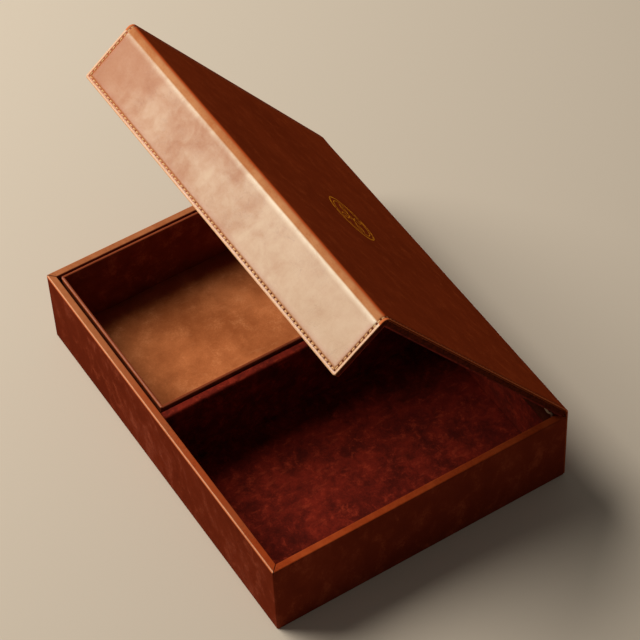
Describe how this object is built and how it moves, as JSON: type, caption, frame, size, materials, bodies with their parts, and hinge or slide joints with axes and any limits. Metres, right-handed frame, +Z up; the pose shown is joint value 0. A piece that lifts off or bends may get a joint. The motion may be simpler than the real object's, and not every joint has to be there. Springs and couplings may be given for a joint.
{
  "type": "stationery box",
  "caption": "Leather-covered stationery box with a hinged, flap-fronted lid, a suede divider, an open compartment for paper and a loose lift-out tray.",
  "frame": {"origin": "centre of the box's underside, on the surface that it stands on", "axes": "+X along the box's long side, to the right as seen from the flap; +Y from the flap to the hinge; +Z up"},
  "size_m": [0.322, 0.2414, 0.2681],
  "materials": {
    "leather_cover": "vegetable-tanned cognac leather, waxed, cloudy, with burnished edges",
    "leather_edge": "cut leather edge, burnished",
    "leather_tray": "thin smooth tan leather",
    "suede_red": "dark red crushed suede",
    "suede_tan": "tan suede with a soft cloudy nap",
    "board": "dense grey bookbinding board, hidden by leather and suede",
    "magnet": "plated disc magnet, hidden under the leather"
  },
  "bodies": {
    "box": {"base_sheet": "leather_cover", "base_board": "board", "front_board": "board", "right_board": "board", "back_board": "board", "left_board": "board", "front_cover": "leather_cover", "right_cover": "leather_cover", "back_cover": "leather_cover", "left_cover": "leather_cover", "front_lining": "suede_red", "right_lining": "suede_red", "back_lining": "suede_red", "left_lining": "suede_red", "divider_board": "board", "divider_suede": "suede_red", "deep_floor": "suede_red", "well_floor": "suede_red", "wall_magnets": "magnet", "spine_leather": "leather_cover", "back_hinge_strip": "leather_edge"},
    "lid": {"lid_leather": "leather_cover", "lid_board": "board", "flap_board": "board", "lid_lining": "suede_red", "flap_lining": "suede_red", "left_lid_welt": "leather_edge", "right_lid_welt": "leather_edge", "left_flap_welt": "leather_edge", "right_flap_welt": "leather_edge", "lower_flap_welt": "leather_edge", "flap_magnets": "magnet", "lid_hinge_strip": "leather_edge"},
    "tray": {"tray_base_leather": "leather_tray", "tray_floor_board": "board", "tray_front_board": "board", "tray_right_board": "board", "tray_back_board": "board", "tray_left_board": "board", "tray_front_leather": "leather_tray", "tray_right_leather": "leather_tray", "tray_back_leather": "leather_tray", "tray_left_leather": "leather_tray", "tray_floor_lining": "suede_tan"}
  },
  "joints": [
    {"name": "lid_hinge", "type": "hinge", "parent": "box", "child": "lid", "pos_m": [0, 0.12, 0.072], "axis": [-1, 0, 0], "range_deg": [-53.3, 41.7]},
    {"name": "tray_lift", "type": "slide", "parent": "box", "child": "tray", "axis": [0, 0, 1], "range_m": [0, 0.001]}
  ]
}
